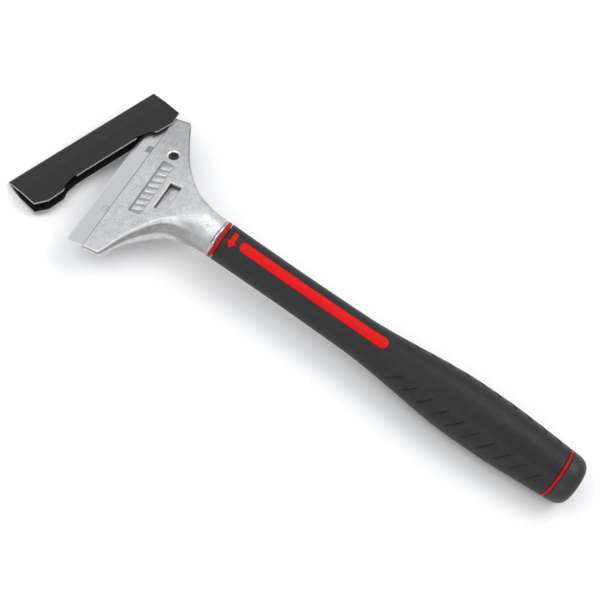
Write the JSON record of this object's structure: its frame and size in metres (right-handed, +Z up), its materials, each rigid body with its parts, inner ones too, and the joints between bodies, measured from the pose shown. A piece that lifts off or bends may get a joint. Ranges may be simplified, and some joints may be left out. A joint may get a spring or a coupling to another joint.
{
  "type": "floor scraper",
  "caption": "Long-handled hand floor scraper: cast flared head with a wide replaceable blade, a twist-to-lock rubber grip and a slip-on blade guard.",
  "frame": {"origin": "middle of the footprint, on the surface the tool lies on", "axes": "+X from the blade to the butt of the handle, +Y along the blade's edge, +Z up out of the surface"},
  "size_m": [0.3516, 0.1182, 0.0357],
  "materials": {
    "cast_head": "as-cast satin, with polished rims",
    "plated_steel": "zinc plated",
    "bright_steel": "bright turned steel",
    "turned_steel": "turned",
    "black_steel": "black oxide",
    "bronze": "sintered bronze",
    "blade_steel": "ground carbon steel",
    "guard_plastic": "moulded black plastic, semi-gloss",
    "red_plastic": "moulded red plastic, satin",
    "grip_rubber": "soft black overmould, satin",
    "cap_plastic": "moulded black plastic"
  },
  "bodies": {
    "head": {"head_casting": "cast_head", "base_cover": "plated_steel", "cover_screw_front_left": "bright_steel", "cover_screw_front_right": "bright_steel", "cover_screw_rear_left": "bright_steel", "cover_screw_rear_right": "bright_steel", "guide_screw": "black_steel", "guide_sleeve": "bronze", "neck_bush": "bronze", "wave_washer": "turned_steel"},
    "handle": {"thrust_collar": "bright_steel", "draw_rod": "turned_steel", "rod_clip": "black_steel", "rod_cross_pin": "turned_steel", "handle_core": "red_plastic", "grip_overmould": "grip_rubber", "end_cap": "cap_plastic"},
    "clamp": {"clamp_jaw": "plated_steel"},
    "cutter": {"blade": "blade_steel"},
    "guard": {"blade_guard": "guard_plastic"}
  },
  "joints": [
    {"name": "handle_twist", "type": "hinge", "parent": "head", "child": "handle", "pos_m": [-0.10362, -0.00653, 0.02428], "axis": [0.9996, 0, -0.0297], "range_deg": [0, 360]},
    {"name": "jaw_travel", "type": "slide", "parent": "head", "child": "clamp", "axis": [0.9996, 0, -0.0297], "range_m": [0, 0.0013]},
    {"name": "blade_slide", "type": "slide", "parent": "head", "child": "cutter", "axis": [-0.9421, 0, -0.3355], "range_m": [0, 0.022]},
    {"name": "guard_swing", "type": "hinge", "parent": "cutter", "child": "guard", "pos_m": [-0.10259, 0.06887, 0.02677], "axis": [-0.3355, 0, 0.9421], "range_deg": [-25, 21]}
  ],
  "couplings": [
    {"joint": "jaw_travel", "follows": "handle_twist", "m_per_rad": 0.00019894}
  ]
}
